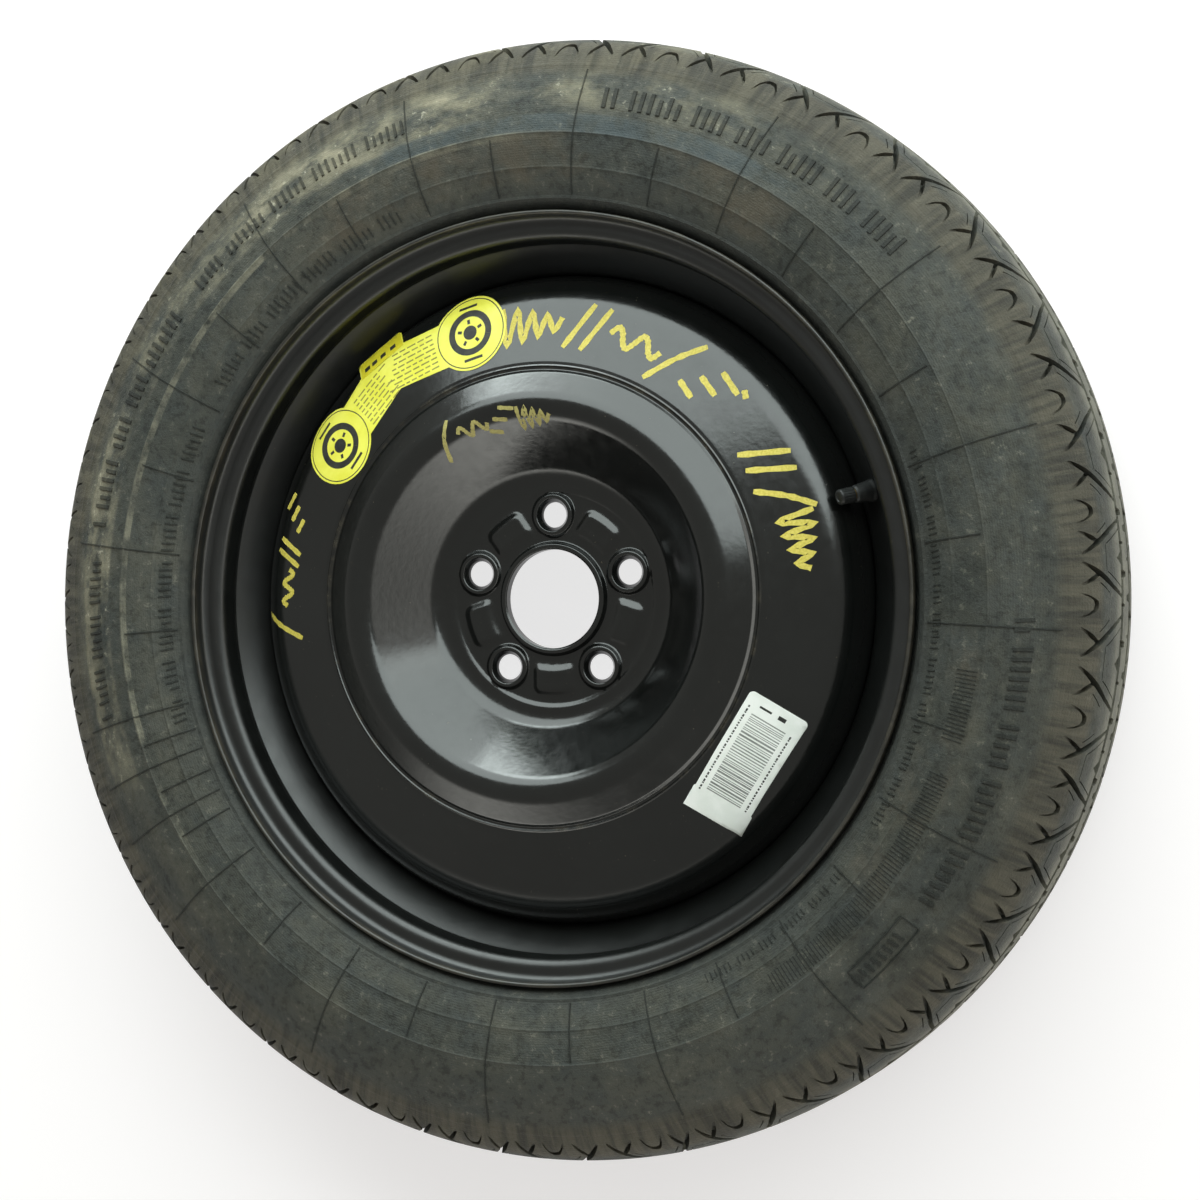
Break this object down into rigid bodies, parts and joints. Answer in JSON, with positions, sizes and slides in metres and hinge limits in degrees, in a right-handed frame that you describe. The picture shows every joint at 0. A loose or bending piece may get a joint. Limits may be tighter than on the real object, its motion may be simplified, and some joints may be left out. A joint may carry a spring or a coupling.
{
  "type": "space saver spare wheel",
  "caption": "Narrow temporary spare wheel: black pressed-steel rim and dished disc, slim tubeless tyre with a chevron tread, and a snap-in valve with a screw cap.",
  "frame": {"origin": "on the wheel's axis, at the floor that the wheel lies on", "axes": "+Z along the wheel's axis, out of its outer face; the valve is near +X"},
  "size_m": [0.721, 0.721, 0.15],
  "materials": {
    "tyre": "matte, dusty",
    "black_paint": "gloss",
    "weld": "semi-gloss",
    "valve_rubber": "satin",
    "valve_brass": "satin",
    "core_seal": "satin",
    "spring_steel": "satin",
    "cap_plastic": "satin",
    "yellow_film": "satin",
    "white_film": "satin"
  },
  "bodies": {
    "root": {"tyre": "tyre", "rim": "black_paint", "wheel_disc": "black_paint", "weld_beads": "weld", "valve_rubber": "valve_rubber", "valve_stem": "valve_brass", "core_barrel": "valve_brass", "core_seal": "core_seal", "core_spring": "spring_steel", "yellow_sticker": "yellow_film", "white_label": "white_film"},
    "valve_pin": {"core_pin": "valve_brass", "core_cup": "valve_rubber"},
    "cap_carrier": {"cap_seal": "valve_rubber"},
    "cap": {"valve_cap": "cap_plastic"}
  },
  "joints": [
    {"name": "pin_press", "type": "slide", "parent": "root", "child": "valve_pin", "axis": [0.669, 0.229, -0.7071], "range_m": [0, 0.0012], "stiffness_N_per_m": 400, "springref_m": -0.0005, "deforming": ["core_spring"]},
    {"name": "cap_lift", "type": "slide", "parent": "root", "child": "cap_carrier", "axis": [-0.669, -0.229, 0.7071], "range_m": [0, 0.00555]},
    {"name": "cap_turn", "type": "hinge", "parent": "cap_carrier", "child": "cap", "pos_m": [0.20854, 0.0714, 0.10331], "axis": [-0.669, -0.229, 0.7071], "range_deg": [0, 2520]}
  ],
  "couplings": [
    {"joint": "cap_turn", "follows": "cap_lift", "rad_per_m": 7913.3}
  ]
}
